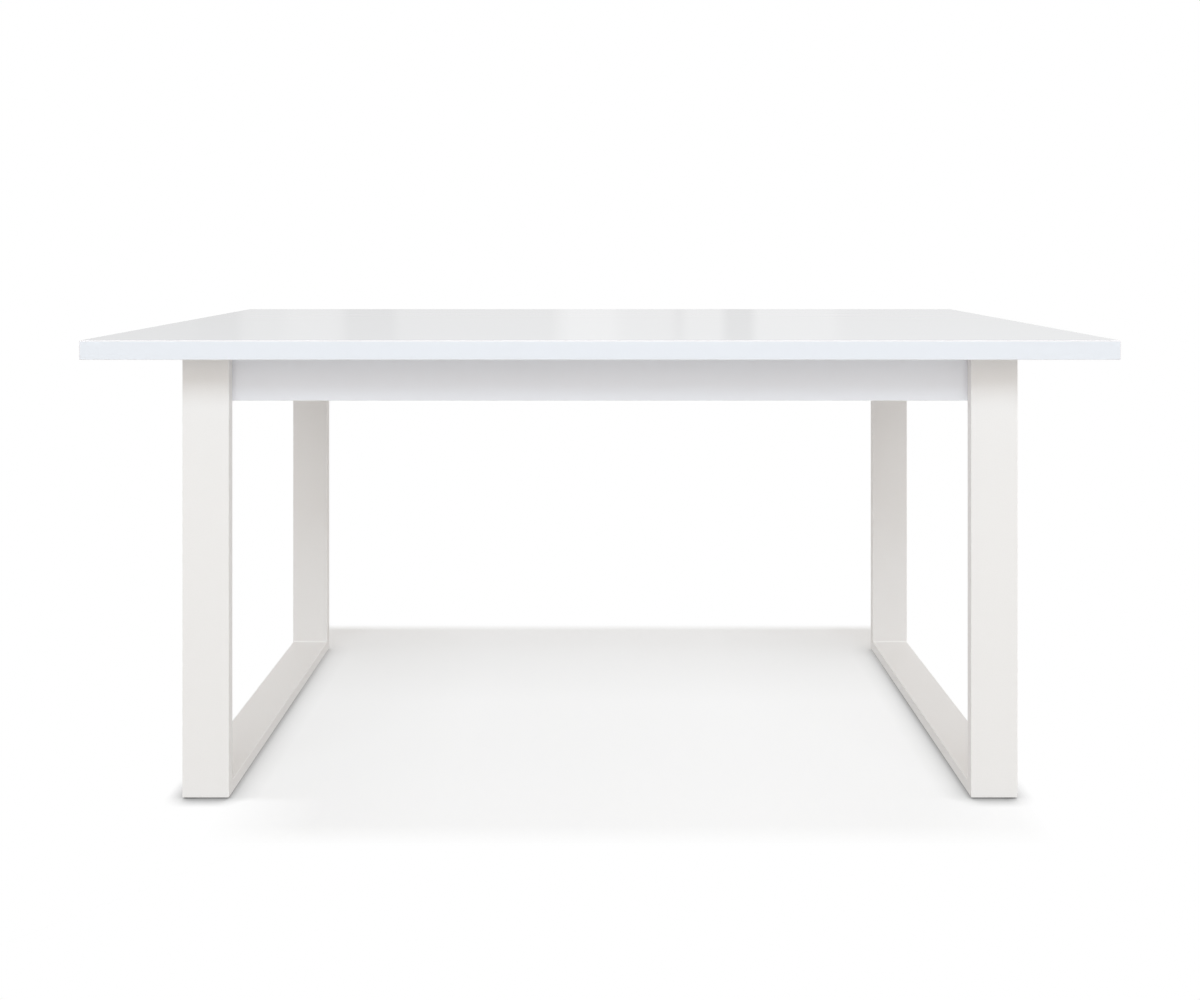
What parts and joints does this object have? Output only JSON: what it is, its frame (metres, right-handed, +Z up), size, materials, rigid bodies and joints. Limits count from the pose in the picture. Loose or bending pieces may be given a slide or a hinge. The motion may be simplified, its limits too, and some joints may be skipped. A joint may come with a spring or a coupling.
{
  "type": "sled-base dining table",
  "caption": "Rectangular dining table with a gloss white board top, a shallow apron box under it and a closed sled frame of flat white tube at each end.",
  "frame": {"origin": "on the floor under the middle of the table top", "axes": "+X along the length of the top, +Y from the front to the rear, +Z up"},
  "size_m": [1.6, 0.9, 0.745],
  "materials": {
    "top_lacquer": "gloss white lacquer on fibreboard",
    "apron_lacquer": "gloss white lacquer on fibreboard",
    "powder_coat": "warm white powder coat, satin, fine texture",
    "zinc_steel": "bright zinc plated",
    "brass": "turned brass",
    "beech": "bare beech",
    "glide_plastic": "matt moulded plastic"
  },
  "bodies": {
    "root": {"centre_cross_rail": "apron_lacquer", "cross_rail_dowels": "beech", "front_apron": "apron_lacquer", "front_apron_brackets": "zinc_steel", "front_bracket_apron_screws": "zinc_steel", "front_bracket_top_screws": "zinc_steel", "left_apron_bolts": "zinc_steel", "left_apron_dowels": "beech", "left_apron_washers": "zinc_steel", "left_end_apron": "apron_lacquer", "left_floor_rail": "powder_coat", "left_frame_welds": "powder_coat", "left_front_corner_block": "beech", "left_front_glide": "glide_plastic", "left_front_leg": "powder_coat", "left_plate_bolts": "zinc_steel", "left_plate_washers": "zinc_steel", "left_rear_corner_block": "beech", "left_rear_glide": "glide_plastic", "left_rear_leg": "powder_coat", "left_rivet_nuts": "zinc_steel", "left_top_inserts": "brass", "left_top_plate": "powder_coat", "rear_apron": "apron_lacquer", "rear_apron_brackets": "zinc_steel", "rear_bracket_apron_screws": "zinc_steel", "rear_bracket_top_screws": "zinc_steel", "right_apron_bolts": "zinc_steel", "right_apron_dowels": "beech", "right_apron_washers": "zinc_steel", "right_end_apron": "apron_lacquer", "right_floor_rail": "powder_coat", "right_frame_welds": "powder_coat", "right_front_corner_block": "beech", "right_front_glide": "glide_plastic", "right_front_leg": "powder_coat", "right_plate_bolts": "zinc_steel", "right_plate_washers": "zinc_steel", "right_rear_corner_block": "beech", "right_rear_glide": "glide_plastic", "right_rear_leg": "powder_coat", "right_rivet_nuts": "zinc_steel", "right_top_inserts": "brass", "right_top_plate": "powder_coat", "table_top": "top_lacquer"}
  },
  "joints": []
}
